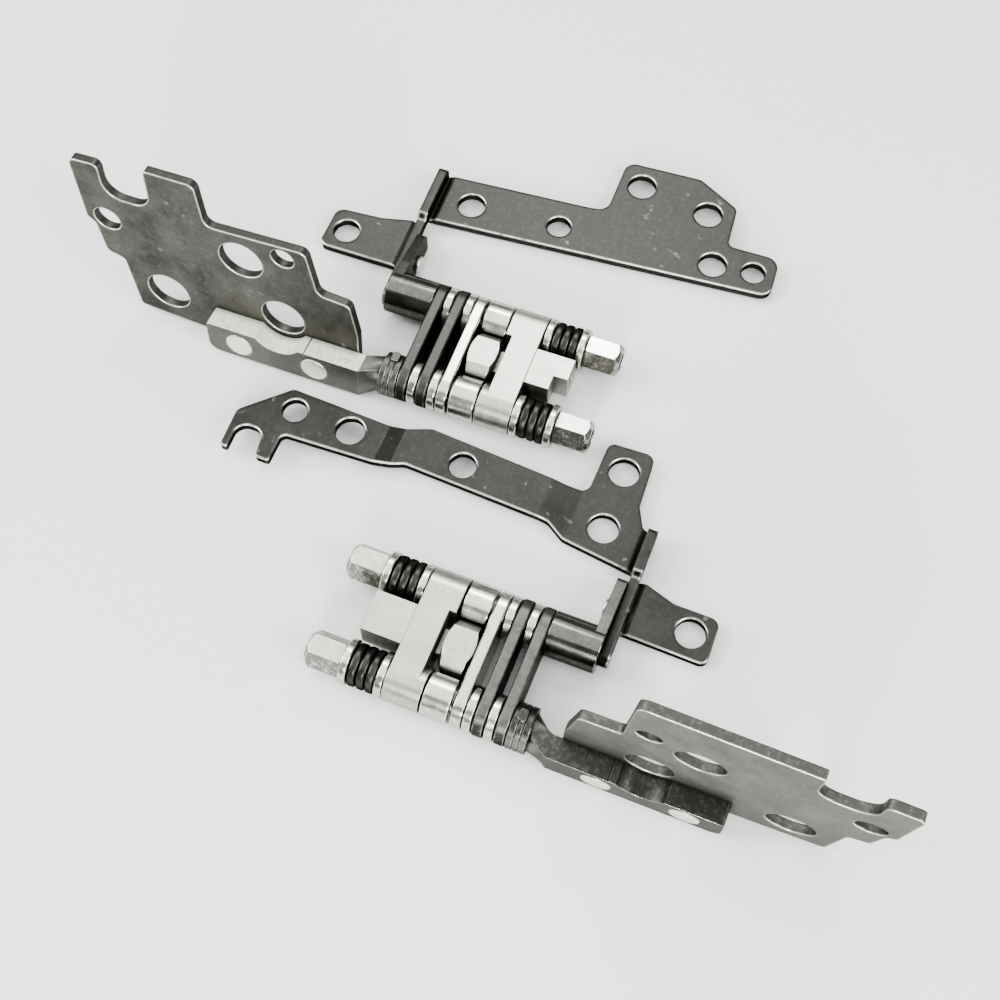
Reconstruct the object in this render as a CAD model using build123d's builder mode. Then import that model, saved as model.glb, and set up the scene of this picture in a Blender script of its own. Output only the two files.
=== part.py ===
from build123d import *
import os

os.makedirs("parts", exist_ok=True)

# A left and right pair of two-shaft hinges for a laptop whose lid turns right round.
# Each hinge is drawn in its own frame: X along the shafts toward the nuts, Y from the
# base shaft at the front to the lid shaft at the rear, Z up, base shaft axis at Y 0, Z 0.
# The right hinge is the mirror image in X. All lengths are in millimetres.

# The two shafts and everything that runs on them
shaft_spacing = 12.0
round_radius = 2.8
journal_radius = 1.75
journal_flats = 2.8
thread_radius = 1.3
turning_clearance = 0.05
keyed_clearance = 0.03
face_play = 0.1
edge_break = 0.15

link_thickness = 1.4
ring_thickness = 1.1
cam_neck_length = 0.2
cam_body_length = 3.4
cam_tail_length = 0.1
cam_neck_radius = 2.3
cam_notch_depth = 0.7
boss_height = 0.85
boss_notch = 0.9
bar_thickness = 3.65
carrier_radius = 2.75
thrust_thickness = 1.0
spring_thickness = 1.05
spring_radius = 2.65
spring_rim = 0.35
spring_count = 3
end_ring_thickness = 0.95
nut_length = 4.6
nut_across_flats = 4.1
nut_chamfer = 0.7
thread_recess = 0.35
thread_chamfer = 0.3

# Selector block between the two cams
selector_length = 3.7
selector_top_half = 2.0
selector_waist_half = 3.2
selector_half_height = 2.4
selector_horn_height = 1.25
cam_clearance = 0.3
selector_turning = 0.7
selector_crown = 0.6
selector_lug_half_width = 1.6
selector_lug_half_height = 1.0

# Carrier tongue between the springs
tongue_width = 5.2
tongue_length = 5.2
tongue_height = 4.1
tongue_drop = 0.1
tongue_notch_width = 2.1
tongue_notch_length = 1.9
tongue_bore_radius = 0.8
tongue_bore_depth = 1.6

# Base shaft with its flat tang
base_collar_length = 2.3
groove_places = (0.7, 1.4)
groove_width = 0.2
groove_depth = 0.15
stop_lug_width = 1.0
stop_lug_depth = 1.4
stop_lug_height = 0.4
stop_lug_root = 0.5
stop_lug_corner = 0.3
neck_length = 2.6
neck_radius = 2.3
tang_depth = 2.8
tang_top = 2.4
tang_bottom = -2.6
tang_end = 26.0
tang_notch_x = 16.2
tang_notch_z = 4.5
tang_notch_radius = 3.6
tang_step_x = 12.4
tang_corner = 1.4
tang_top_corner = 0.4

# Sheet metal and rivets
sheet = 1.2
rivet_shank_radius = 1.2
rivet_head_radius = 1.9
rivet_head_depth = 0.5
rivet_clearance = 0.02
base_rivet_places = [(-21.6, -0.2), (-11.1, -0.2)]

# Base plate: outline corners as (distance from link 1, height, corner radius)
base_finger = [
    (-32.6, 24.0, 0.3), (-32.6, 17.6, 2.4), (-38.8, 17.6, 2.4), (-38.9, 22.6, 0.8),
    (-42.8, 22.4, 0.8), (-42.2, 12.8, 0.8), (-41.2, 12.0, 0.6), (-40.5, 7.2, 0.9),
    (-38.2, 6.6, 0.9), (-37.2, -1.8, 0.6), (-27.5, -2.5, 0.5), (-6.0, -2.5, 0.3),
]
left_base_top = [
    (-5.9, 5.5, 0.6), (-6.8, 10.9, 0.9), (-11.0, 11.3, 1.2), (-12.2, 18.2, 1.0),
    (-25.4, 17.6, 1.2), (-26.0, 24.1, 1.0),
]
right_base_top = [
    (-6.2, 5.5, 0.6), (-7.6, 12.8, 0.9), (-12.5, 13.0, 0.8), (-13.4, 24.6, 1.2),
]
base_holes = [
    (-21.1, 13.4, 2.9), (-32.6, 2.6, 2.9), (-16.2, 4.7, 2.9),
    (-39.3, 13.4, 1.8), (-15.3, 16.1, 1.5),
]

# Lid bracket: a wall beside the shaft, a main plate toward the nuts, a tab the other way
wall_inner_x = -6.4
wall_top = 0.3
front_wall_top = -0.6
front_wall_start = -0.8
wall_corner = 0.9
strip_slope = 0.6
crease_depth = 0.45
crease_width = 0.9
bend_outer_radius = 1.3
fold_corner = 0.1
plate_top = -1.5
lid_shaft_collar_end = -5.1
lid_rivet_y = 6.0
lid_rivet_z = -1.5
lid_rivet_shank_radius = 0.7
lid_rivet_head_radius = 1.1
lid_rivet_head_height = 0.45
lid_rivet_head_round = 0.27
lid_tongue_length = 9.6
lid_tongue_shoulder = (3.8, 1.9)
lid_tongue_corner = 0.8
lid_tongue_end_top = 0.3
lid_tongue_bottom = -2.7

# Plate outlines as (distance toward the nuts, distance behind the lid shaft, radius)
left_main = [
    (13.4, 22.6, 2.0), (16.0, 23.0, 1.6), (16.1, 31.7, 1.6), (26.6, 32.3, 1.4),
    (32.7, 29.2, 1.2), (33.1, 23.0, 1.0), (40.4, 23.2, 1.8), (40.7, 17.2, 1.6),
]
left_main_holes = [
    (-1.7, 17.4, 1.9), (10.7, 18.2, 1.65), (19.3, 28.4, 1.95), (29.2, 27.0, 1.95),
    (32.1, 19.4, 1.9), (37.6, 20.0, 1.6),
]
left_tab = [(-8.5, 12.3, 0.5), (-12.5, 11.3, 1.5), (-18.8, 10.8, 1.4), (-19.0, 4.6, 1.0)]
left_tab_hole = (-16.2, 7.7, 1.8)
left_fold = (13.4, 21.0)
left_tab_fold = (4.7, 12.3)

right_main = [
    (-5.6, 17.4, 0.6), (-4.2, 20.2, 1.0), (-3.8, 27.4, 1.2), (2.2, 27.1, 1.0), (2.4, 19.5, 1.2),
    (5.2, 19.4, 1.5), (23.6, 20.4, 1.5), (28.6, 18.4, 2.0), (42.0, 18.8, 1.2),
    (47.5, 13.5, 1.4), (47.3, 8.2, 0.25), (46.4, 8.2, 0.25), (46.5, 12.0, 1.6),
    (43.0, 12.0, 1.6), (42.5, 8.3, 0.3), (40.7, 8.3, 0.3), (40.7, 12.4, 0.8),
    (28.6, 13.0, 2.0), (25.0, 14.6, 1.5), (5.6, 13.9, 1.5), (3.2, 12.5, 1.5),
]
right_main_holes = [
    (40.6, 16.0, 1.65), (32.9, 15.9, 1.9), (18.1, 17.0, 1.75), (-0.9, 23.8, 1.95),
    (-1.1, 15.6, 1.95),
]
right_tab = [(-8.5, 10.6, 0.5), (-12.4, 9.4, 1.5), (-18.2, 9.4, 1.2), (-18.4, 3.4, 1.0)]
right_tab_hole = (-15.4, 6.6, 1.9)
right_fold = (11.2, 17.2)
right_tab_fold = (3.6, 10.6)
# The right plate steps up twice on its way out: (start, end, rise)
right_joggles = [(3.0, 7.0, 0.6), (26.6, 28.6, 0.9)]

# How the pair rests on the table: leans and tilts in degrees
left_lean = -6.6
right_lean = 3.1
left_tilt = 1.2
right_tilt = 0.6
right_hinge_place = (28.97, -38.22)
right_hinge_yaw = -1.44
pair_offset = (-14.48, -1.27)

# Places along the shafts, counted from the outer face of link 1
link_starts = [0.0]
ring_starts = []
for _ in range(2):
    ring_starts.append(link_starts[-1] + link_thickness + face_play)
    link_starts.append(ring_starts[-1] + ring_thickness + face_play)
cam_start = link_starts[-1] + link_thickness + face_play
cam_length = cam_neck_length + cam_body_length + cam_tail_length
boss_start = cam_start + cam_length + face_play
bar_start = boss_start + boss_height
bar_end = bar_start + bar_thickness
thrust_start = bar_end + face_play
spring_starts = [thrust_start + thrust_thickness + face_play]
for _ in range(spring_count - 1):
    spring_starts.append(spring_starts[-1] + spring_thickness + face_play)
end_ring_start = spring_starts[-1] + spring_thickness + face_play
nut_start = end_ring_start + end_ring_thickness + face_play
nut_end = nut_start + nut_length
journal_end = nut_start - face_play / 2
shaft_end = nut_end - thread_recess


def double_d(radius, flats):
    """Round outline with two flats, as on the shafts and in everything keyed to them."""
    with BuildSketch(mode=Mode.PRIVATE) as outline:
        Circle(radius)
        Rectangle(2 * radius, flats, mode=Mode.INTERSECT)
    add(outline.sketch)


def keyed_hole():
    """Outline of a hole that fits over the flats of a shaft."""
    double_d(journal_radius + keyed_clearance, journal_flats + 2 * keyed_clearance)


def rounded_face(corners):
    """Face from corners given as (x, y, radius)."""
    with BuildSketch(mode=Mode.PRIVATE) as face:
        with BuildLine():
            Polyline([(x, y) for x, y, _ in corners], close=True)
        make_face()
        for x, y, radius in corners:
            corner = face.vertices().sort_by_distance((x, y, 0))[0]
            fillet(corner, radius)
    return face.sketch


def make_ring(start, thickness, radius, shaft_y):
    """Keyed washer with broken edges."""
    with BuildPart() as ring:
        with BuildSketch(Plane.YZ.offset(start)):
            with Locations((shaft_y, 0)):
                Circle(radius)
        extrude(amount=thickness)
        chamfer(ring.edges().filter_by(GeomType.CIRCLE), edge_break)
        with BuildSketch(Plane.YZ.offset(start)):
            with Locations((shaft_y, 0)):
                keyed_hole()
        extrude(amount=thickness, mode=Mode.SUBTRACT)
    return ring.part


def make_spring(start, shaft_y):
    """Disc spring with a rounded rim."""
    with BuildPart() as spring:
        with BuildSketch(Plane.YZ.offset(start)):
            with Locations((shaft_y, 0)):
                Circle(spring_radius)
        extrude(amount=spring_thickness)
        fillet(spring.edges().filter_by(GeomType.CIRCLE), spring_rim)
        with BuildSketch(Plane.YZ.offset(start)):
            with Locations((shaft_y, 0)):
                keyed_hole()
        extrude(amount=spring_thickness, mode=Mode.SUBTRACT)
    return spring.part


def make_link(start):
    """Flat link with a round end and a turning hole at each shaft."""
    with BuildPart() as link:
        with BuildSketch(Plane.YZ.offset(start)):
            with Locations((shaft_spacing / 2, 0)):
                SlotCenterToCenter(shaft_spacing, 2 * round_radius)
            with Locations((0, 0), (shaft_spacing, 0)):
                Circle(journal_radius + turning_clearance, mode=Mode.SUBTRACT)
        extrude(amount=link_thickness)
        rims = link.faces().filter_by(Axis.X).edges()
        chamfer(rims.filter_by(lambda edge: edge.length > 2 * round_radius), edge_break)
    return link.part


def make_cam(shaft_y, notch_angle):
    """Cam: a turned body with narrower ends and a flat notch that takes the selector."""
    with BuildPart() as cam:
        with BuildSketch(Plane.YZ.offset(cam_start)):
            with Locations((shaft_y, 0)):
                Circle(cam_neck_radius)
        extrude(amount=cam_length)
        with BuildSketch(Plane.YZ.offset(cam_start + cam_neck_length)):
            with Locations((shaft_y, 0)):
                Circle(round_radius)
        extrude(amount=cam_body_length)
        rims = cam.edges().filter_by(GeomType.CIRCLE)
        chamfer(rims.filter_by(lambda edge: edge.radius > cam_neck_radius), edge_break)
        with BuildSketch(Plane.YZ.offset(cam_start)):
            with Locations(Location((shaft_y, 0, 0), (0, 0, notch_angle))):
                with Locations((round_radius, 0)):
                    Rectangle(2 * cam_notch_depth, 2 * round_radius)
        extrude(amount=cam_length, mode=Mode.SUBTRACT)
        with BuildSketch(Plane.YZ.offset(cam_start)):
            with Locations((shaft_y, 0)):
                keyed_hole()
        extrude(amount=cam_length, mode=Mode.SUBTRACT)
    return cam.part


def make_nut(shaft_y):
    """Hexagon nut with a turned chamfer on its outer end."""
    with BuildPart() as nut:
        with BuildSketch(Plane.YZ.offset(nut_start)):
            with Locations((shaft_y, 0)):
                RegularPolygon(nut_across_flats / 2, 6, major_radius=False)
        extrude(amount=nut_length)
        corner_radius = nut_across_flats / 3 ** 0.5
        with BuildSketch(Plane.XY):
            with BuildLine():
                Polyline(
                    (nut_start, shaft_y),
                    (nut_start, shaft_y + corner_radius - edge_break),
                    (nut_start + edge_break, shaft_y + corner_radius),
                    (nut_end - nut_chamfer, shaft_y + corner_radius),
                    (nut_end, shaft_y + corner_radius - nut_chamfer),
                    (nut_end, shaft_y),
                    close=True,
                )
            make_face()
        revolve(axis=Axis((0, shaft_y, 0), (1, 0, 0)), mode=Mode.INTERSECT)
        with BuildSketch(Plane.YZ.offset(nut_start)):
            with Locations((shaft_y, 0)):
                Circle(thread_radius + turning_clearance)
        extrude(amount=nut_length, mode=Mode.SUBTRACT)
    return nut.part


def shaft_rod(shaft_y, start):
    """Journal with two flats, then the round thread under the nut."""
    with BuildPart() as rod:
        with BuildSketch(Plane.YZ.offset(start)):
            with Locations((shaft_y, 0)):
                double_d(journal_radius, journal_flats)
        extrude(amount=journal_end - start)
        with BuildSketch(Plane.YZ.offset(journal_end)):
            with Locations((shaft_y, 0)):
                Circle(thread_radius)
        extrude(amount=shaft_end - journal_end)
        chamfer(rod.faces().sort_by(Axis.X)[-1].edges(), thread_chamfer)
    return rod.part


def make_base_shaft():
    """Base shaft: journal, grooved collar with a stop lug, waisted neck and flat tang."""
    collar_start = -face_play - base_collar_length
    tang_start = collar_start - neck_length
    with BuildPart() as shaft:
        add(shaft_rod(0, collar_start))
        with BuildSketch(Plane.YZ.offset(collar_start)):
            Circle(round_radius)
        extrude(amount=base_collar_length)
        for place in groove_places:
            with BuildSketch(Plane.YZ.offset(collar_start + place)):
                Circle(round_radius)
                Circle(round_radius - groove_depth, mode=Mode.SUBTRACT)
            extrude(amount=groove_width, mode=Mode.SUBTRACT)
        with BuildSketch(Plane.XY.offset(round_radius - stop_lug_root)):
            with Locations((-face_play - stop_lug_width, stop_lug_depth / 2)):
                RectangleRounded(stop_lug_width, stop_lug_depth, stop_lug_corner)
        extrude(amount=stop_lug_root + stop_lug_height)
        # The neck runs from the round collar into the square end of the tang
        with BuildSketch(Plane.YZ.offset(collar_start)):
            Circle(neck_radius)
        with BuildSketch(Plane.YZ.offset(tang_start)):
            with Locations((-tang_depth / 2, (tang_top + tang_bottom) / 2)):
                Rectangle(tang_depth, tang_top - tang_bottom)
        loft()
        with BuildSketch(Plane.XZ):
            with BuildLine():
                Polyline(
                    (tang_start, tang_top),
                    (-tang_end, tang_top),
                    (-tang_end, tang_bottom),
                    (tang_start, tang_bottom),
                    close=True,
                )
            make_face()
            with Locations((-tang_notch_x, tang_notch_z)):
                Circle(tang_notch_radius, mode=Mode.SUBTRACT)
            with Locations((-tang_step_x, tang_top)):
                Rectangle(groove_width, 2 * groove_depth, mode=Mode.SUBTRACT)
        extrude(amount=tang_depth)
        for height, radius in ((tang_bottom, tang_corner), (tang_top, tang_top_corner)):
            end = (-tang_end, -tang_depth / 2, height)
            fillet(shaft.edges().filter_by(Axis.Y).sort_by_distance(end)[0], radius)
        with BuildSketch(Plane.XZ):
            with Locations(*base_rivet_places):
                Circle(rivet_shank_radius + rivet_clearance)
        extrude(amount=tang_depth, mode=Mode.SUBTRACT)
        with BuildSketch(Plane.XZ.offset(tang_depth - rivet_head_depth)):
            with Locations(*base_rivet_places):
                Circle(rivet_head_radius + rivet_clearance)
        extrude(amount=rivet_head_depth, mode=Mode.SUBTRACT)
    return shaft.part


def make_base_plate(top_corners):
    """Stamped plate that stands behind the tang and carries the screw holes."""
    outline = rounded_face(base_finger + top_corners)
    with BuildPart() as plate:
        with BuildSketch(Plane.XZ):
            add(outline)
            for x, z, radius in base_holes:
                with Locations((x, z)):
                    Circle(radius, mode=Mode.SUBTRACT)
            with Locations(*base_rivet_places):
                Circle(rivet_shank_radius + rivet_clearance, mode=Mode.SUBTRACT)
        extrude(amount=-sheet)
    return plate.part


def make_base_rivets():
    """Two flush rivets through tang and base plate."""
    with BuildPart() as rivets:
        with BuildSketch(Plane.XZ.offset(-sheet - rivet_clearance)):
            with Locations(*base_rivet_places):
                Circle(rivet_shank_radius)
        extrude(amount=sheet + tang_depth)
        with BuildSketch(Plane.XZ.offset(tang_depth - rivet_head_depth + rivet_clearance)):
            with Locations(*base_rivet_places):
                Circle(rivet_head_radius)
        extrude(amount=rivet_head_depth)
        with BuildSketch(Plane.XZ.offset(-sheet - rivet_clearance)):
            with Locations(*base_rivet_places):
                Circle(rivet_head_radius)
        extrude(amount=-rivet_head_depth)
    return rivets.part


def make_lid_shaft():
    """Lid shaft: journal, long polished collar and a flat tongue beside the wall."""
    shoulder_y, shoulder_z = lid_tongue_shoulder
    tongue_end = shaft_spacing + lid_tongue_length
    with BuildPart() as shaft:
        add(shaft_rod(shaft_spacing, lid_shaft_collar_end))
        with BuildSketch(Plane.YZ.offset(lid_shaft_collar_end)):
            with Locations((shaft_spacing, 0)):
                Circle(round_radius)
        extrude(amount=-face_play - lid_shaft_collar_end)
        with BuildSketch(Plane.YZ.offset(wall_inner_x)):
            with Locations((shaft_spacing, 0)):
                Circle(round_radius)
            with BuildLine():
                Polyline(
                    (shaft_spacing, round_radius),
                    (shaft_spacing + shoulder_y, shoulder_z),
                    (tongue_end, lid_tongue_end_top),
                    (tongue_end, lid_tongue_bottom),
                    (shaft_spacing, lid_tongue_bottom),
                    close=True,
                )
            make_face()
        extrude(amount=lid_shaft_collar_end - wall_inner_x)
        corner = (wall_inner_x, tongue_end, lid_tongue_end_top)
        fillet(shaft.edges().filter_by(Axis.X).sort_by_distance(corner)[0], lid_tongue_corner)
        with BuildSketch(Plane.YZ.offset(wall_inner_x)):
            with Locations((shaft_spacing + lid_rivet_y, lid_rivet_z)):
                Circle(lid_rivet_shank_radius + rivet_clearance)
        extrude(amount=lid_shaft_collar_end - wall_inner_x, mode=Mode.SUBTRACT)
    return shaft.part


def make_lid_rivet():
    """Rivet through the tongue of the lid shaft and the wall of the bracket."""
    with BuildPart() as rivet:
        with BuildSketch(Plane.YZ.offset(wall_inner_x - sheet)):
            with Locations((shaft_spacing + lid_rivet_y, lid_rivet_z)):
                Circle(lid_rivet_shank_radius)
        extrude(amount=sheet + lid_shaft_collar_end - wall_inner_x + rivet_clearance)
        with BuildSketch(Plane.YZ.offset(lid_shaft_collar_end + rivet_clearance)):
            with Locations((shaft_spacing + lid_rivet_y, lid_rivet_z)):
                Circle(lid_rivet_head_radius)
        extrude(amount=lid_rivet_head_height)
        fillet(rivet.faces().sort_by(Axis.X)[-1].edges(), lid_rivet_head_round)
    return rivet.part


def fold_section(side, far_x, joggles):
    """Corners of the folded sheet seen along Y: the wall, the crease and the plate."""
    near_x = wall_inner_x if side > 0 else wall_inner_x - sheet
    back_x = near_x - side * sheet
    outer = [(back_x, front_wall_top), (back_x, plate_top - sheet)]
    inner = [
        (near_x, front_wall_top),
        (near_x, plate_top - crease_depth),
        (near_x + side * crease_width / 3, plate_top - crease_depth / 2),
        (near_x + side * crease_width, plate_top),
    ]
    rise = 0
    for start, end, step in joggles:
        outer += [(start, plate_top - sheet + rise), (end, plate_top - sheet + rise + step)]
        inner += [(start, plate_top + rise), (end, plate_top + rise + step)]
        rise += step
    outer.append((far_x, plate_top - sheet + rise))
    inner.append((far_x, plate_top + rise))
    return outer + inner[::-1]


def make_flange(side, corners, holes, fold, joggles):
    """Plate bent off the foot of the wall and cut to its outline seen from above."""
    back_x = wall_inner_x - sheet if side > 0 else wall_inner_x
    far_x = side * (max(abs(x) for x, _, _ in corners) + sheet)
    reach = max(y for _, y, _ in corners) + sheet
    outline = rounded_face([(back_x, y, fold_corner) for y in fold] + corners)
    with BuildPart() as flange:
        with BuildSketch(Plane.XZ.offset(-shaft_spacing)):
            with BuildLine():
                Polyline(fold_section(side, far_x, joggles), close=True)
            make_face()
        extrude(amount=-reach)
        bend = (back_x, shaft_spacing + reach / 2, plate_top - sheet)
        fillet(flange.edges().filter_by(Axis.Y).sort_by_distance(bend)[0], bend_outer_radius)
        with BuildSketch(Plane((0, shaft_spacing, plate_top - 2 * sheet))):
            add(outline)
            for x, y, radius in holes:
                with Locations((x, y)):
                    Circle(radius, mode=Mode.SUBTRACT)
        extrude(amount=4 * sheet, mode=Mode.INTERSECT)
    return flange.part


def make_lid_bracket(flange, tab, fold, tab_fold):
    """Wall behind the lid shaft's tongue, joined to the main plate and the tab."""
    front = shaft_spacing + front_wall_start
    tab_rear = shaft_spacing + tab_fold[1]
    rear = shaft_spacing + fold[1]
    foot = plate_top - crease_depth
    with BuildPart() as bracket:
        with BuildSketch(Plane.YZ.offset(wall_inner_x - sheet)):
            with BuildLine():
                Polyline(
                    (front, front_wall_top),
                    (tab_rear, front_wall_top),
                    (tab_rear + strip_slope, wall_top),
                    (rear, wall_top),
                    (rear, foot),
                    (shaft_spacing + tab_fold[0], foot),
                    (shaft_spacing + tab_fold[0], plate_top - sheet),
                    (front, plate_top - sheet),
                    close=True,
                )
            make_face()
        extrude(amount=sheet)
        for y, z in ((front, front_wall_top), (rear, wall_top)):
            corner = (wall_inner_x - sheet / 2, y, z)
            fillet(bracket.edges().filter_by(Axis.X).sort_by_distance(corner)[0], wall_corner)
        add(flange)
        add(tab)
        with BuildSketch(Plane.YZ.offset(wall_inner_x - sheet)):
            with Locations((shaft_spacing + lid_rivet_y, lid_rivet_z)):
                Circle(lid_rivet_shank_radius + rivet_clearance)
        extrude(amount=sheet, mode=Mode.SUBTRACT)
    return bracket.part


def make_selector():
    """Block between the cams, hollowed to their radius, with a lug in the carrier."""
    middle = shaft_spacing / 2
    reach = round_radius + cam_clearance
    start = cam_start + cam_neck_length / 2
    with BuildPart() as block:
        with BuildSketch(Plane.YZ.offset(start)):
            with BuildLine():
                Polyline(
                    (middle - selector_top_half, selector_half_height),
                    (middle + selector_top_half, selector_half_height),
                    (middle + selector_waist_half, selector_horn_height),
                    (middle + selector_waist_half, -selector_horn_height),
                    (middle + selector_top_half, -selector_half_height),
                    (middle - selector_top_half, -selector_half_height),
                    (middle - selector_waist_half, -selector_horn_height),
                    (middle - selector_waist_half, selector_horn_height),
                    close=True,
                )
            make_face()
            with Locations((0, 0), (shaft_spacing, 0)):
                Circle(reach, mode=Mode.SUBTRACT)
        extrude(amount=selector_length)
        # Both ends are turned down, which rounds the ends of the top face
        corner = (selector_top_half ** 2 + selector_half_height ** 2) ** 0.5
        with BuildSketch(Plane.XY.offset(0)):
            with BuildLine():
                Polyline(
                    (start, middle),
                    (start, middle + corner - selector_turning),
                    (start + selector_turning, middle + corner + selector_crown),
                    (start + selector_length - selector_turning, middle + corner + selector_crown),
                    (start + selector_length, middle + corner - selector_turning),
                    (start + selector_length, middle),
                    close=True,
                )
            make_face()
        revolve(axis=Axis((0, middle, 0), (1, 0, 0)), mode=Mode.INTERSECT)
        with BuildSketch(Plane.YZ.offset(start + selector_length)):
            with Locations((middle, 0)):
                Rectangle(2 * selector_lug_half_width, 2 * selector_lug_half_height)
        extrude(amount=bar_start - face_play - start - selector_length)
    return block.part


def make_carrier(notched):
    """Carrier bar with a boss at each shaft and a tongue between the spring stacks."""
    middle = shaft_spacing / 2
    tongue_middle = carrier_radius - tongue_drop - tongue_height / 2
    tongue_end = bar_end + tongue_length
    with BuildPart() as carrier:
        with BuildSketch(Plane.YZ.offset(bar_start)):
            with Locations((middle, 0)):
                SlotCenterToCenter(shaft_spacing, 2 * carrier_radius)
            with Locations((0, 0), (shaft_spacing, 0)):
                Circle(journal_radius + turning_clearance, mode=Mode.SUBTRACT)
        extrude(amount=bar_thickness)
        with BuildSketch(Plane.YZ.offset(boss_start)):
            with Locations((0, 0), (shaft_spacing, 0)):
                Circle(carrier_radius)
            with Locations((shaft_spacing - carrier_radius, 0)):
                Rectangle(
                    carrier_radius,
                    2 * carrier_radius,
                    align=(Align.MIN, Align.CENTER),
                )
            with Locations((0, 0), (shaft_spacing, 0)):
                Circle(journal_radius + turning_clearance, mode=Mode.SUBTRACT)
        extrude(amount=boss_height)
        with BuildSketch(Plane.YZ.offset(boss_start)):
            with Locations((-carrier_radius, -carrier_radius / 2)):
                Rectangle(2 * boss_notch, boss_notch)
        extrude(amount=boss_height, mode=Mode.SUBTRACT)
        with BuildSketch(Plane.YZ.offset(bar_end)):
            with Locations((middle, tongue_middle)):
                Rectangle(tongue_width, tongue_height)
        extrude(amount=tongue_length)
        if notched:
            with BuildSketch(Plane.YZ.offset(tongue_end - tongue_notch_length)):
                with Locations((middle - tongue_width / 2, tongue_middle)):
                    Rectangle(2 * tongue_notch_width, tongue_height)
            extrude(amount=tongue_notch_length, mode=Mode.SUBTRACT)
            with BuildSketch(Plane.YZ.offset(tongue_end)):
                with Locations((middle + tongue_notch_width / 2, tongue_middle)):
                    Circle(tongue_bore_radius)
            extrude(amount=-tongue_bore_depth, mode=Mode.SUBTRACT)
    return carrier.part


def hinge_pieces(bracket, base_top, notched):
    """All pieces of one hinge with the group each one moves with."""
    pieces = {
        "base_shaft": ("base", make_base_shaft()),
        "base_plate": ("base", make_base_plate(base_top)),
        "base_rivets": ("base", make_base_rivets()),
        "lid_shaft": ("lid", make_lid_shaft()),
        "lid_rivet": ("lid", make_lid_rivet()),
        "lid_bracket": ("lid", bracket),
        "selector": ("link", make_selector()),
        "carrier": ("link", make_carrier(notched)),
    }
    for number, start in enumerate(link_starts, 1):
        pieces[f"link_{number}"] = ("link", make_link(start))
    rings = {
        "washer_1": (ring_starts[0], ring_thickness),
        "washer_2": (ring_starts[1], ring_thickness),
        "thrust_washer": (thrust_start, thrust_thickness),
        "end_washer": (end_ring_start, end_ring_thickness),
    }
    for group, shaft_y, notch_angle in (("base", 0, 0), ("lid", shaft_spacing, -90)):
        pieces[f"{group}_cam"] = (group, make_cam(shaft_y, notch_angle))
        pieces[f"{group}_nut"] = (group, make_nut(shaft_y))
        for name, (start, thickness) in rings.items():
            ring = make_ring(start, thickness, round_radius, shaft_y)
            pieces[f"{group}_{name}"] = (group, ring)
        for number, start in enumerate(spring_starts, 1):
            pieces[f"{group}_disc_spring_{number}"] = (group, make_spring(start, shaft_y))
    return pieces


def turn_about_shaft(shape, shaft_y, angle):
    """Turn a piece about a shaft axis that runs along X."""
    return shape.rotate(Axis((0, shaft_y, 0), (1, 0, 0)), angle)


left_pieces = hinge_pieces(
    make_lid_bracket(
        make_flange(1, left_main, left_main_holes, left_fold, []),
        make_flange(-1, left_tab, [left_tab_hole], left_tab_fold, []),
        left_fold,
        left_tab_fold,
    ),
    left_base_top,
    notched=True,
)
right_pieces = hinge_pieces(
    make_lid_bracket(
        make_flange(1, right_main, right_main_holes, right_fold, right_joggles),
        make_flange(-1, right_tab, [right_tab_hole], right_tab_fold, []),
        right_fold,
        right_tab_fold,
    ),
    right_base_top,
    notched=False,
)

left_angles = {"base": left_lean, "lid": left_tilt, "link": 0}
right_angles = {"base": right_lean, "lid": right_tilt, "link": 0}
hinges = (
    ("left", left_pieces, left_angles, (0, 0), 0),
    ("right", right_pieces, right_angles, right_hinge_place, right_hinge_yaw),
)
for side, pieces, angles, place, yaw in hinges:
    seat_x = place[0] + pair_offset[0]
    seat_y = place[1] + pair_offset[1]
    seat = Location((seat_x, seat_y, round_radius), (0, 0, yaw))
    for name, (group, shape) in pieces.items():
        shaft_y = shaft_spacing if group == "lid" else 0
        turned = turn_about_shaft(shape, shaft_y, angles[group])
        if side == "right":
            turned = mirror(turned, about=Plane.YZ)
        piece = turned.moved(seat)
        piece.label = f"{side}_{name}"
        export_step(piece, f"parts/{side}_{name}.step")
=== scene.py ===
import math

import bpy
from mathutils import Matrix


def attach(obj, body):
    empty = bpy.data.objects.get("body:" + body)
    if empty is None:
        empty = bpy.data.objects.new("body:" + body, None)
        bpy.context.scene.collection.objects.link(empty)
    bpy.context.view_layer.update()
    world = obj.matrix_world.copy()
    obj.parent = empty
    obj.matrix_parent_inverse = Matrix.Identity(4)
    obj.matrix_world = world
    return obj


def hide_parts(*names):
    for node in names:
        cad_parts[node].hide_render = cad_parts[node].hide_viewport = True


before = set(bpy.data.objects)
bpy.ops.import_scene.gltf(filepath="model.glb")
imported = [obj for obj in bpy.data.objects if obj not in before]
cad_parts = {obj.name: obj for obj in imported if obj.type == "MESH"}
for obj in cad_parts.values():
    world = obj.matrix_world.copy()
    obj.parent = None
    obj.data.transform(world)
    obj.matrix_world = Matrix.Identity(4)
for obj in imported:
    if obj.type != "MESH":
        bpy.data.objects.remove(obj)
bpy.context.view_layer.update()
bpy.ops.object.select_all(action="DESELECT")

# The scene is in metres, in the frame of the solids. MM turns millimetres into metres.
MM = 0.001

# Camera: the photograph's viewing angle, in millimetres and degrees
camera_place = (30.96, -88.09, 164.61)
camera_tilt = 26.253
camera_turn = 20.298
camera_lens = 52.92
sensor_width = 36
nearest_seen = 5

bpy.ops.object.camera_add(
    location=[value * MM for value in camera_place],
    rotation=(math.radians(camera_tilt), 0, math.radians(camera_turn)),
)
camera = bpy.context.object
camera.name = "camera"
camera.data.lens = camera_lens
camera.data.sensor_width = sensor_width
camera.data.clip_start = nearest_seen * MM
bpy.context.scene.camera = camera


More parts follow.
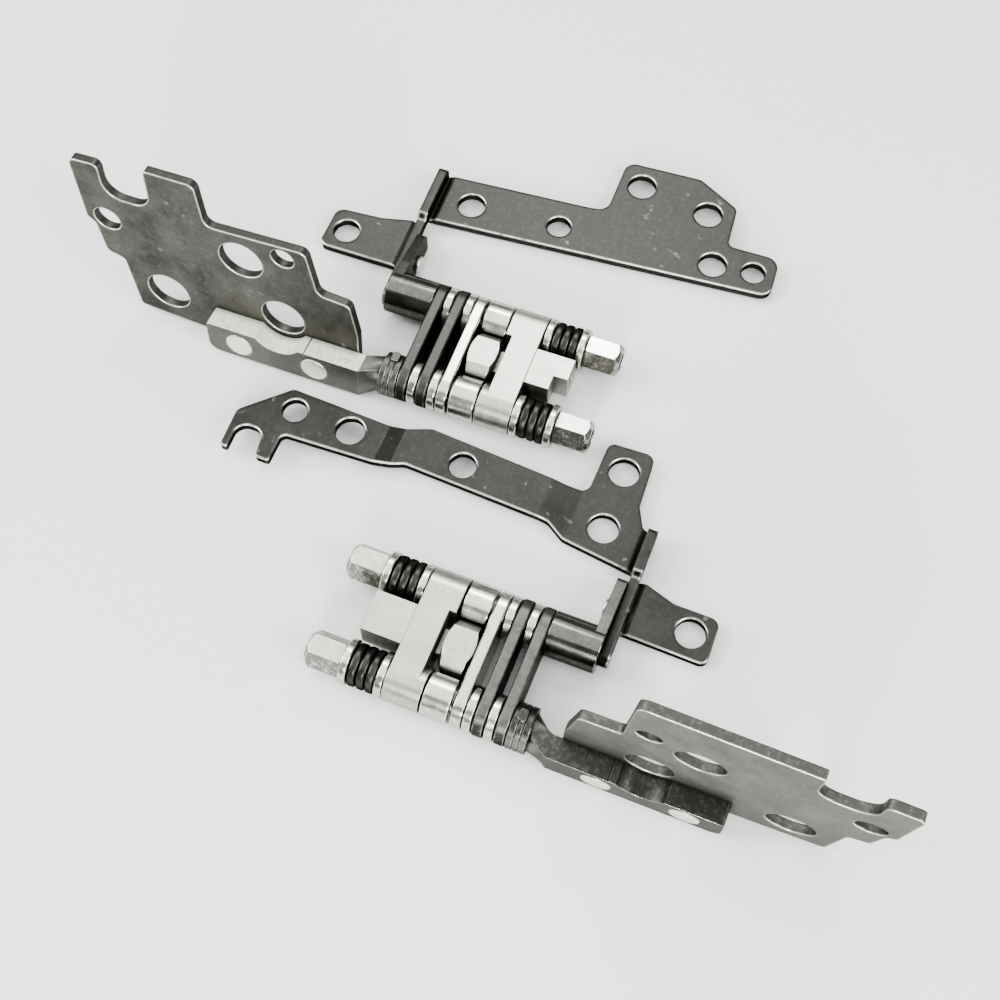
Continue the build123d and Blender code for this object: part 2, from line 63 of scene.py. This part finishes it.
# Helpers for shader trees
def new_effect(name, inputs, outputs):
    """Empty node group with named inputs and outputs, given as (label, default) and (label, kind)."""
    group = bpy.data.node_groups.new(name, "ShaderNodeTree")
    for label, default in inputs:
        kind = "NodeSocketVector" if isinstance(default, tuple) else "NodeSocketFloat"
        socket = group.interface.new_socket(label, in_out="INPUT", socket_type=kind)
        socket.default_value = default
    for label, kind in outputs:
        group.interface.new_socket(label, in_out="OUTPUT", socket_type=kind)
    entry = group.nodes.new("NodeGroupInput")
    leave = group.nodes.new("NodeGroupOutput")
    return group, entry, leave


def noise(tree, coords, scale, detail, rough=0.55):
    """Noise factor at a scale that is a number or a socket."""
    node = tree.nodes.new("ShaderNodeTexNoise")
    node.inputs["Detail"].default_value = detail
    node.inputs["Roughness"].default_value = rough
    tree.links.new(coords, node.inputs["Vector"])
    if isinstance(scale, (int, float)):
        node.inputs["Scale"].default_value = scale
    else:
        tree.links.new(scale, node.inputs["Scale"])
    return node.outputs["Fac"]


def spread(tree, value, low, high, to_low=0.0, to_high=1.0):
    """Stretch a value from one range to another, clamped."""
    node = tree.nodes.new("ShaderNodeMapRange")
    for label, number in (("From Min", low), ("From Max", high), ("To Min", to_low), ("To Max", to_high)):
        node.inputs[label].default_value = number
    tree.links.new(value, node.inputs["Value"])
    return node.outputs["Result"]


def compute(tree, operation, first, second=None):
    """Math node on numbers or sockets."""
    node = tree.nodes.new("ShaderNodeMath")
    node.operation = operation
    for socket, value in zip(node.inputs, (first, second)):
        if isinstance(value, (int, float)):
            socket.default_value = value
        elif value is not None:
            tree.links.new(value, socket)
    return node.outputs[0]


def dot_product(tree, first, second):
    """Dot product of two direction sockets."""
    node = tree.nodes.new("ShaderNodeVectorMath")
    node.operation = "DOT_PRODUCT"
    tree.links.new(first, node.inputs[0])
    tree.links.new(second, node.inputs[1])
    return node.outputs["Value"]


def object_coords(tree, stretch=(1, 1, 1)):
    """Object coordinates, stretched along the axes where a pattern has a grain."""
    coords = tree.nodes.new("ShaderNodeTexCoord")
    mapping = tree.nodes.new("ShaderNodeMapping")
    mapping.inputs["Scale"].default_value = stretch
    tree.links.new(coords.outputs["Object"], mapping.inputs["Vector"])
    return mapping.outputs["Vector"]


def blend_colour(tree, mask, first, second):
    """Colour that goes from the first to the second as the mask rises."""
    node = tree.nodes.new("ShaderNodeMix")
    node.data_type = "RGBA"
    tree.links.new(mask, node.inputs["Factor"])
    colour_sockets = [socket for socket in node.inputs if socket.type == "RGBA"]
    for socket, value in zip(colour_sockets, (first, second)):
        if isinstance(value, tuple):
            socket.default_value = (*value, 1)
        else:
            tree.links.new(value, socket)
    return next(socket for socket in node.outputs if socket.type == "RGBA")


def place_effect(tree, group, **values):
    """Put a shared effect into a material with its own values."""
    node = tree.nodes.new("ShaderNodeGroup")
    node.node_tree = group
    for label, value in values.items():
        node.inputs[label.replace("_", " ")].default_value = value
    return node.outputs


# Shader effects that several finishes share. Noise scales are patterns per metre.
ray_samples = 8


def make_edge_wear_and_highlight():
    """Bright rub where the sheet rolls over an edge. Even is the rub on every side; on the edges that face
    Side, toward the light, it grows into a painted highlight.
    """
    edge_cosines = (0.995, 0.92)
    # Edges that face this way, toward the front light, get the painted highlight.
    highlight_side = (0.15, -0.8, 0.58)
    highlight_cosines = (0.55, 0.85)
    gap_scale, gap_detail, gap_range = 900, 3, (0.2, 0.45)
    group, entry, leave = new_effect(
        "edge_wear_and_highlight",
        [("Radius", 0.0002), ("Even", 0.3), ("Side", highlight_side)],
        [("Edge", "NodeSocketFloat"), ("Normal", "NodeSocketVector")],
    )
    bevel = group.nodes.new("ShaderNodeBevel")
    bevel.samples = ray_samples
    group.links.new(entry.outputs["Radius"], bevel.inputs["Radius"])
    flat = group.nodes.new("ShaderNodeNewGeometry")
    edge = spread(group, dot_product(group, bevel.outputs["Normal"], flat.outputs["Normal"]), *edge_cosines)
    # Painted highlight on the edges that face the light, never less than the even rub.
    rubbed = spread(group, dot_product(group, bevel.outputs["Normal"], entry.outputs["Side"]), *highlight_cosines)
    rubbed = compute(group, "MAXIMUM", rubbed, entry.outputs["Even"])
    broken = spread(group, noise(group, object_coords(group), gap_scale, gap_detail), *gap_range)
    worn_and_highlight = compute(group, "MULTIPLY", compute(group, "MULTIPLY", edge, broken), rubbed)
    group.links.new(worn_and_highlight, leave.inputs["Edge"])
    group.links.new(bevel.outputs["Normal"], leave.inputs["Normal"])
    return group


def make_mottle():
    """Cloudy patches, fine specks, scattered nicks and scuffs of plated sheet."""
    cloud_detail, cloud_rough = 6, 0.66
    speck_detail, speck_rough = 3, 0.7
    scuff_grain, scuff_scale, scuff_detail, scuff_rough = (9, 1.2, 9), 420, 4, 0.6
    scuff_range = (0.58, 0.72)
    nick_scale, nick_detail, nick_rough = 780, 2, 0.4
    nick_range = (0.7, 0.78)
    group, entry, leave = new_effect(
        "plating_mottle",
        [("Patch Scale", 160.0), ("Speck Scale", 1600.0)],
        [(label, "NodeSocketFloat") for label in ("Patch", "Speck", "Scuff", "Nick")],
    )
    coords = object_coords(group)
    cloud = noise(group, coords, entry.outputs["Patch Scale"], cloud_detail, cloud_rough)
    speck = noise(group, coords, entry.outputs["Speck Scale"], speck_detail, speck_rough)
    streak = noise(group, object_coords(group, scuff_grain), scuff_scale, scuff_detail, scuff_rough)
    nick = noise(group, coords, nick_scale, nick_detail, nick_rough)
    group.links.new(cloud, leave.inputs["Patch"])
    group.links.new(speck, leave.inputs["Speck"])
    group.links.new(spread(group, streak, *scuff_range), leave.inputs["Scuff"])
    group.links.new(spread(group, nick, *nick_range), leave.inputs["Nick"])
    return group


def make_crease_shade():
    """Shade painted into creases and under the stacked pieces, darkening the colour there."""
    open_to_hidden = (0.9, 0.3)
    group, entry, leave = new_effect("crease_shade", [("Reach", 0.0012)], [("Shade", "NodeSocketFloat")])
    hollow = group.nodes.new("ShaderNodeAmbientOcclusion")
    hollow.samples = ray_samples
    group.links.new(entry.outputs["Reach"], hollow.inputs["Distance"])
    group.links.new(spread(group, hollow.outputs["AO"], *open_to_hidden), leave.inputs["Shade"])
    return group


def make_cut_faces_and_painted_light():
    """Mask of the faces that don't lie along the sheet: its sheared or ground sides, which also take
    painted light and shade by the way they face.

    Sheet is the direction square to the sheet. Start and Hold limit the mask to one end of
    a piece: it begins where Start . position passes 1, or holds all over where Hold is 1."""
    along_sheet, across_sheet = 0.8, 0.6
    start_range = (0.99, 1.0)
    group, entry, leave = new_effect(
        "cut_faces_and_painted_light",
        [("Sheet", (0.0, 0.0, 1.0)), ("Start", (0.0, 0.0, 0.0)), ("Hold", 1.0)],
        [("Cut And Painted Light", "NodeSocketFloat")],
    )
    flat = group.nodes.new("ShaderNodeNewGeometry")
    along = compute(group, "ABSOLUTE", dot_product(group, flat.outputs["Normal"], entry.outputs["Sheet"]))
    place = spread(group, dot_product(group, object_coords(group), entry.outputs["Start"]), *start_range)
    place = compute(group, "MAXIMUM", place, entry.outputs["Hold"])
    across = spread(group, along, along_sheet, across_sheet)
    group.links.new(compute(group, "MULTIPLY", across, place), leave.inputs["Cut And Painted Light"])
    return group


edge_wear_and_highlight = make_edge_wear_and_highlight()
mottle = make_mottle()
crease_shade = make_crease_shade()
cut_faces_and_painted_light = make_cut_faces_and_painted_light()

# Shares and limits that all metal finishes have in common. relief_depth is in millimetres, and
# least_tint is how bright the glancing reflection of the darkest plating stays.
patch_tone_range = (0.36, 0.66)
patch_gloss_range = (0.3, 0.7)
speck_range = (0.5, 0.75)
rubbed_gain = 1.6
scuff_share = 0.3
speck_share = 0.35
nick_share = 0.12
edge_polish = 0.1
relief_depth = 0.03
least_tint = 0.3
# The near black painted into the creases as shade.
painted_shade_colour = (0.004, 0.004, 0.0035)
olive_cast = (1, 0.995, 0.89)


def metal_tone(tree, base, patch, worn_and_highlight, cut_and_painted_light, cut_and_painted_light_mask, wear_and_highlight, cloud, crease, shade):
    """Colour: patches, sheared sides with their painted light and shade, scuffs, specks and nicks, rubbed
    edges with their painted highlight, then painted shade in the creases.
    """
    tone = blend_colour(tree, spread(tree, cloud["Patch"], *patch_tone_range), base, patch)
    # Sheared and ground sides take their own colour, which also paints light and shade on them.
    if cut_and_painted_light:
        tone = blend_colour(tree, cut_and_painted_light_mask, tone, cut_and_painted_light)
    rubbed = tuple(rubbed_gain * channel for channel in patch)
    speck = spread(tree, cloud["Speck"], *speck_range)
    marks = (
        (cloud["Scuff"], scuff_share, rubbed),
        (speck, speck_share, rubbed),
        (cloud["Nick"], nick_share, worn_and_highlight),
    )
    for mask, share, colour in marks:
        tone = blend_colour(tree, compute(tree, "MULTIPLY", mask, share), tone, colour)
    # Rubbed edges, brightest as a painted highlight where they face the light.
    tone = blend_colour(tree, wear_and_highlight["Edge"], tone, worn_and_highlight)
    # Painted shade: the creases go near black.
    return blend_colour(tree, compute(tree, "MULTIPLY", crease["Shade"], shade), tone, painted_shade_colour)


def metal_roughness(tree, gloss, cut_rough, cut_and_painted_light_mask, wear_and_highlight, cloud):
    """Roughness: uneven with the patches, coarser on rough sheared sides, smoother on rubbed edges."""
    rough = spread(tree, cloud["Patch"], *patch_gloss_range, *gloss)
    if cut_rough:
        rough = compute(tree, "MAXIMUM", rough, compute(tree, "MULTIPLY", cut_and_painted_light_mask, cut_rough))
    return compute(tree, "SUBTRACT", rough, compute(tree, "MULTIPLY", wear_and_highlight["Edge"], edge_polish))


def metal_relief(tree, wear_and_highlight, cloud, bump):
    """Normal: rolled edges with the fine grain of the plating on them."""
    relief = tree.nodes.new("ShaderNodeBump")
    relief.inputs["Strength"].default_value = bump
    relief.inputs["Distance"].default_value = relief_depth * MM
    tree.links.new(cloud["Speck"], relief.inputs["Height"])
    tree.links.new(wear_and_highlight["Normal"], relief.inputs["Normal"])
    return relief.outputs["Normal"]


def metal(name, base, patch, worn_and_highlight, gloss, *, cut_and_painted_light=None, sheet=(0, 0, 1), start=None, cut_rough=0.0,
          edge=0.15, even=0.4, patch_scale=160.0, bump=0.12, shade=0.8, reach=1.2):
    """Plated or ground metal: patchy tone and gloss, specks, rubbed edges with a painted
    highlight where they face the light, and painted shade in the creases.

    base and patch are the plating's colours. The colour for rubbed edges and nicks is also the
    painted highlight on the lit edges, and the colour for the sheared or ground sides also paints
    light and shade on them by the way they face. gloss is the roughness of the smoothest and the
    coarsest patches. sheet, start and cut_rough say which faces are sheared or ground sides and
    how rough they are. edge and reach are the widths of the rub and of the painted crease shade
    in millimetres. even is the rub that an edge has on every side, and bump and shade are
    strengths, shade that of the painted crease shade."""
    material = bpy.data.materials.new(name)
    material.use_nodes = True
    tree = material.node_tree
    shader = tree.nodes["Principled BSDF"]
    shader.inputs["Metallic"].default_value = 1.0
    tint = [least_tint + (1 - least_tint) * channel for channel in base]
    shader.inputs["Specular Tint"].default_value = (*tint, 1)
    wear_and_highlight = place_effect(tree, edge_wear_and_highlight, Radius=edge * MM, Even=even)
    cloud = place_effect(tree, mottle, Patch_Scale=patch_scale)
    crease = place_effect(tree, crease_shade, Reach=reach * MM)
    cut_and_painted_light_mask = None
    if cut_and_painted_light:
        hold = 0.0 if start else 1.0
        cut_and_painted_light_mask = place_effect(tree, cut_faces_and_painted_light, Sheet=sheet, Start=start or (0, 0, 0), Hold=hold)["Cut And Painted Light"]
    tone = metal_tone(tree, base, patch, worn_and_highlight, cut_and_painted_light, cut_and_painted_light_mask, wear_and_highlight, cloud, crease, shade)
    rough = metal_roughness(tree, gloss, cut_rough, cut_and_painted_light_mask, wear_and_highlight, cloud)
    tree.links.new(tone, shader.inputs["Base Color"])
    tree.links.new(rough, shader.inputs["Roughness"])
    tree.links.new(metal_relief(tree, wear_and_highlight, cloud, bump), shader.inputs["Normal"])
    return material


def grey(value):
    """Grey with the photo's slight olive cast."""
    return tuple(value * channel for channel in olive_cast)


# Finishes. A sheet lies flat, square to z, or stands on edge, square to y. The left tang's
# rough top is painted near white as a highlight, from tang_from in millimetres along x.
sheet_up = (0, 0, 1)
sheet_front = (0, 1, 0)
tang_from = -19.5
tang_start = (1 / (tang_from * MM), 0, 0)

# The left and right hinges carry lit and shaded copies of the lid, upright and link finishes: their
# different greys are painted light and shade.
left_lid_lit_copy = metal(
    "left_lid_nickel_lit_copy", grey(0.04), grey(0.062), grey(0.9), (0.34, 0.46),
    cut_and_painted_light=grey(0.02), sheet=sheet_up, edge=0.5, even=0.06,
)
right_lid_shaded_copy = metal(
    "right_lid_nickel_shaded_copy", grey(0.03), grey(0.048), grey(0.9), (0.34, 0.46),
    cut_and_painted_light=grey(0.015), sheet=sheet_up, edge=0.5, even=0.06,
)
left_upright_shaded_copy = metal(
    "left_upright_nickel_shaded_copy", grey(0.045), grey(0.1), grey(0.85), (0.38, 0.52),
    cut_and_painted_light=grey(0.07), sheet=sheet_front, edge=0.35, even=0.15,
)
right_upright_lit_copy = metal(
    "right_upright_nickel_lit_copy", grey(0.15), grey(0.21), grey(0.85), (0.38, 0.5),
    cut_and_painted_light=grey(0.08), sheet=sheet_front, edge=0.35, even=0.1,
)
left_link_shaded_copy = metal(
    "left_link_nickel_shaded_copy", grey(0.06), grey(0.085), grey(0.3), (0.32, 0.45),
    cut_and_painted_light=grey(0.02), sheet=sheet_up, edge=0.2, even=0.1, patch_scale=500.0, shade=1.0, reach=2.5,
)
right_link_lit_copy = metal(
    "right_link_nickel_lit_copy", grey(0.09), grey(0.16), grey(0.4), (0.32, 0.45),
    cut_and_painted_light=grey(0.03), sheet=sheet_up, edge=0.2, even=0.1, patch_scale=700.0, shade=1.0, reach=2.5,
)
# Ground steel, satin steel, the collar and the nuts: faces that don't face up are painted darker than the
# tops, as painted shade.
bright_steel = metal(
    "ground_steel", grey(0.75), grey(0.95), grey(0.98), (0.16, 0.28),
    cut_and_painted_light=grey(0.42), sheet=sheet_up, patch_scale=420.0, shade=1.0,
)
carrier_steel = metal(
    "satin_pressed_steel", grey(0.56), grey(0.66), grey(0.85), (0.28, 0.38),
    cut_and_painted_light=grey(0.36), sheet=sheet_up, patch_scale=300.0, bump=0.2, shade=1.0,
)
# The faces of the left tang that don't face front or rear, its top among them, are painted near white as a
# highlight.
left_shaft_with_tang_highlight = metal(
    "left_shaft_steel_tang_highlight", grey(0.09), grey(0.13), grey(0.7), (0.3, 0.5),
    cut_and_painted_light=grey(0.98), sheet=sheet_front, start=tang_start, cut_rough=0.85,
    patch_scale=260.0, edge=0.1, even=0.1,
)
right_shaft = metal(
    "right_shaft_steel", grey(0.1), grey(0.16), grey(0.5), (0.26, 0.4),
    cut_and_painted_light=grey(0.05), sheet=sheet_front, patch_scale=260.0, edge=0.1, even=0.1,
)
dark_collar = metal(
    "dark_polished_collar", grey(0.12), grey(0.18), grey(0.6), (0.14, 0.22),
    cut_and_painted_light=grey(0.06), sheet=sheet_up, patch_scale=260.0, even=0.15,
)
black_spring = metal(
    "blackened_spring", grey(0.025), grey(0.06), grey(0.2), (0.28, 0.38), patch_scale=500.0,
)
bright_nut = metal(
    "nut_bright_plate", grey(0.75), grey(0.95), grey(0.98), (0.1, 0.2),
    cut_and_painted_light=grey(0.16), sheet=sheet_up, patch_scale=420.0,
)
rivet_steel = metal(
    "peened_rivet", grey(0.7), grey(0.9), grey(0.98), (0.3, 0.4), patch_scale=420.0,
)

# What each solid is made of: by its own name, or by a word in its name. The rest is ground steel.
finish_by_name = {
    "left_lid_bracket": left_lid_lit_copy,
    "right_lid_bracket": right_lid_shaded_copy,
    "left_base_plate": left_upright_shaded_copy,
    "right_base_plate": right_upright_lit_copy,
    "left_base_shaft": left_shaft_with_tang_highlight,
    "right_base_shaft": right_shaft,
    "left_link_1": left_link_shaded_copy,
    "left_link_2": left_link_shaded_copy,
    "right_link_1": right_link_lit_copy,
    "right_link_2": right_link_lit_copy,
}
finish_by_word = {
    "lid_shaft": dark_collar,
    "carrier": carrier_steel,
    "selector": carrier_steel,
    "spring": black_spring,
    "nut": bright_nut,
    "rivet": rivet_steel,
}


def dress_solids():
    """Give every solid of the frame its finish."""
    for name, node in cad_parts.items():
        finish = finish_by_name.get(name, bright_steel)
        for word, shared in finish_by_word.items():
            if word in name:
                finish = shared
        for material_slot in node.material_slots:
            material_slot.material = finish


dress_solids()

# Base rivets, in millimetres from the hinge's origin on its base shaft: x along the shaft, y
# square to the base plate, from front to rear. The front heads stand slightly proud of the tang.
rivet_places_x = (-21.6, -11.1)
rivet_z = -0.2
front_head = {"front_y": -2.9, "length": 0.6, "radius": 1.84, "rim": 0.2}
shank = {"front_y": -2.6, "length": 4.0, "radius": 1.18, "rim": 0.02}
rear_head = {"front_y": 1.2, "length": 0.52, "radius": 1.88, "rim": 0.15}
rivet_sides = 72
rim_segments = 4
smooth_below = 35

# How each hinge lies: its hand, its base plate's lean and its turn in degrees, and its origin
hinges = {
    "left": {"hand": 1, "lean": -6.6, "turn": 0, "origin": (-14.48, -1.27, 2.8)},
    "right": {"hand": -1, "lean": 3.1, "turn": -1.44, "origin": (14.49, -39.49, 2.8)},
}


def rivet_disc(place_x, front_y, length, radius, rim):
    """Upright disc with rounded rims, its flat ends facing front and rear."""
    bpy.ops.mesh.primitive_cylinder_add(
        vertices=rivet_sides,
        radius=radius * MM,
        depth=length * MM,
        location=(place_x * MM, (front_y + length / 2) * MM, rivet_z * MM),
        rotation=(math.pi / 2, 0, 0),
    )
    disc = bpy.context.object
    bpy.ops.object.transform_apply(location=True, rotation=True, scale=True)
    rounding = disc.modifiers.new("rounded_rim", "BEVEL")
    rounding.width = rim * MM
    rounding.segments = rim_segments
    rounding.limit_method = "ANGLE"
    bpy.ops.object.modifier_apply(modifier=rounding.name)
    return disc


def make_rivets(side, hand, lean, turn, origin):
    """The two peened rivets of one base plate, as one piece in place of the flush ones."""
    discs = [
        rivet_disc(rivet_x * hand, **form)
        for rivet_x in rivet_places_x
        for form in (front_head, shank, rear_head)
    ]
    for disc in discs:
        disc.select_set(True)
    bpy.ops.object.join()
    rivets = bpy.context.object
    rivets.name = f"{side}_rivet_heads"
    rivets.rotation_euler = (math.radians(lean), 0, math.radians(turn))
    rivets.location = [value * MM for value in origin]
    bpy.ops.object.transform_apply(location=True, rotation=True, scale=True)
    bpy.ops.object.shade_smooth_by_angle(angle=math.radians(smooth_below))
    rivets.data.materials.append(rivet_steel)
    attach(rivets, "bases")
    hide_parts(f"{side}_base_rivets")
    bpy.ops.object.select_all(action="DESELECT")


for side, hinge in hinges.items():
    make_rivets(side, **hinge)

# Floor, in metres
floor_size = 3
paper_white = (0.95, 0.95, 0.95, 1)
paper_rough = 0.85

bpy.ops.mesh.primitive_plane_add(size=floor_size, location=(0, 0, 0))
floor = bpy.context.object
floor.name = "floor"
paper = bpy.data.materials.new("white_paper")
paper.use_nodes = True
paper_shader = paper.node_tree.nodes["Principled BSDF"]
paper_shader.inputs["Base Color"].default_value = paper_white
paper_shader.inputs["Roughness"].default_value = paper_rough
floor.data.materials.append(paper)

# Studio light: a large soft key above, two fills, and two small lights for highlights.
# Place and width are in millimetres, power in watts.
lights = {
    "key_light": {"place": (-180, 200, 870), "width": 1300, "power": 11},
    "sparkle_light": {"place": (-130, 470, 690), "width": 160, "power": 1.4},
    "edge_light": {"place": (60, -420, 200), "width": 120, "power": 2.2},
    "left_fill": {"place": (-500, -100, 330), "width": 400, "power": 5.5},
    "right_fill": {"place": (500, -150, 330), "width": 400, "power": 5.5},
}
air_brightness = 0.2


def soft_light(name, place, width, power):
    """Square soft light, aimed at the middle of the pair."""
    bpy.ops.object.light_add(type="AREA", location=[value * MM for value in place])
    lamp = bpy.context.object
    lamp.name = name
    lamp.data.size = width * MM
    lamp.data.energy = power
    to_middle = -lamp.location
    lamp.rotation_euler = to_middle.to_track_quat("-Z", "Y").to_euler()


for name, light in lights.items():
    soft_light(name, **light)

world = bpy.data.worlds.new("studio_air")
bpy.context.scene.world = world
world.use_nodes = True
air = world.node_tree.nodes["Background"]
air.inputs["Color"].default_value = (1, 1, 1, 1)
air.inputs["Strength"].default_value = air_brightness
